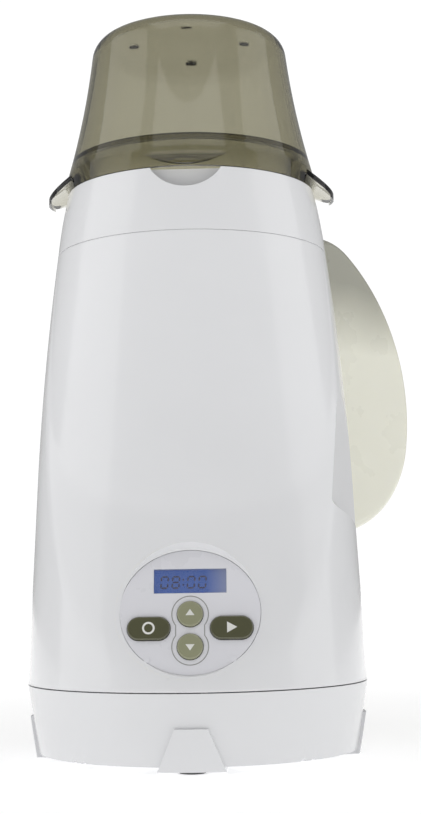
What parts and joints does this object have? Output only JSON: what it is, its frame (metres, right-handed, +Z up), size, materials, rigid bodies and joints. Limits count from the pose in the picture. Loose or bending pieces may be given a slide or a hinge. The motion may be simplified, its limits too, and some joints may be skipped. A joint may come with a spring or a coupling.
{
  "type": "bottle warmer",
  "caption": "Round electric steam bottle warmer with a lift-off smoke lid, a lift-out basket, a D-shaped water tank at its side and a push-button panel with a display.",
  "frame": {"origin": "on the surface it stands on, under the middle of the whole outline with its tank, which is 14.3 mm from the housing's own axis", "axes": "+Z up, -Y towards the control panel and the user, +X to the user's right; the tank stands out towards +X and +Y"},
  "size_m": [0.1646, 0.1541, 0.3052],
  "materials": {
    "white_shell": "glossy moulded",
    "foot_rubber": "matt rubber",
    "screw_steel": "plain",
    "gland_rubber": "soft moulded",
    "chamber_plastic": "satin",
    "seal_silicone": "silicone",
    "boiler_aluminium": "satin cast",
    "element_steel": "sheathed",
    "control_metal": "plain",
    "shield_steel": "pressed sheet",
    "socket_plastic": "satin",
    "hose_silicone": "silicone",
    "clip_steel": "spring steel",
    "panel_grey": "satin",
    "window_clear": "clear",
    "display_blue": "backlit",
    "board_black": "satin",
    "button_sage": "glossy",
    "button_olive": "glossy",
    "board_green": "solder masked",
    "relay_blue": "satin",
    "terminal_green": "satin",
    "basket_white": "satin",
    "lid_smoke": "see-through smoke",
    "tank_sage": "translucent",
    "valve_plastic": "satin",
    "spring_steel": "wire"
  },
  "bodies": {
    "housing": {"base_tray": "white_shell", "rubber_feet": "foot_rubber", "base_screws": "screw_steel", "cord_gland": "gland_rubber", "main_housing": "white_shell", "top_collar": "white_shell", "steam_chamber": "chamber_plastic", "chamber_seal": "seal_silicone", "boiler_dish": "boiler_aluminium", "heating_element": "element_steel", "thermostat": "control_metal", "thermal_fuse": "control_metal", "heat_shield": "shield_steel", "clamp_screws": "screw_steel", "tank_socket": "socket_plastic", "socket_ring": "seal_silicone", "water_hose": "hose_silicone", "hose_clips": "clip_steel", "control_panel": "panel_grey", "display_window": "window_clear", "display_module": "display_blue", "display_frame": "board_black", "key_switches": "board_black", "control_board": "board_green", "board_screws": "screw_steel", "buzzer": "board_black", "power_board": "board_green", "power_relay": "relay_blue", "power_capacitor": "board_black", "terminal_block": "terminal_green"},
    "lid": {"steam_lid": "lid_smoke"},
    "basket": {"bottle_basket": "basket_white"},
    "tank": {"water_tank": "tank_sage", "valve_spring": "spring_steel"},
    "plug": {"tank_plug": "seal_silicone"},
    "valve": {"valve_plunger": "valve_plastic"},
    "up_key": {"up_button": "button_sage"},
    "down_key": {"down_button": "button_sage"},
    "stop_key": {"stop_button": "button_olive"},
    "start_key": {"start_button": "button_olive"}
  },
  "joints": [
    {"name": "lid_lift", "type": "slide", "parent": "housing", "child": "lid", "axis": [0, 0, 1], "range_m": [0, 0.24]},
    {"name": "basket_lift", "type": "slide", "parent": "housing", "child": "basket", "axis": [0, 0, 1], "range_m": [0, 0.18]},
    {"name": "tank_lift", "type": "slide", "parent": "housing", "child": "tank", "axis": [0, 0, 1], "range_m": [0, 0.16]},
    {"name": "plug_pull", "type": "slide", "parent": "tank", "child": "plug", "axis": [-0.6428, 0.766, 0], "range_m": [0, 0.02]},
    {"name": "valve_rise", "type": "slide", "parent": "tank", "child": "valve", "axis": [0, 0, 1], "range_m": [0, 0.003], "stiffness_N_per_m": 60, "springref_m": -0.004, "deforming": ["valve_spring"]},
    {"name": "up_press", "type": "slide", "parent": "housing", "child": "up_key", "axis": [0, 0.9681, -0.2504], "range_m": [0, 0.0008], "stiffness_N_per_m": 1000, "springref_m": -0.0002},
    {"name": "down_press", "type": "slide", "parent": "housing", "child": "down_key", "axis": [0, 0.9681, -0.2504], "range_m": [0, 0.0008], "stiffness_N_per_m": 1000, "springref_m": -0.0002},
    {"name": "stop_press", "type": "slide", "parent": "housing", "child": "stop_key", "axis": [0, 0.9681, -0.2504], "range_m": [0, 0.0008], "stiffness_N_per_m": 1000, "springref_m": -0.0002},
    {"name": "start_press", "type": "slide", "parent": "housing", "child": "start_key", "axis": [0, 0.9681, -0.2504], "range_m": [0, 0.0008], "stiffness_N_per_m": 1000, "springref_m": -0.0002}
  ],
  "couplings": [
    {"joint": "basket_lift", "follows": "lid_lift", "ratio": 0.75}
  ]
}
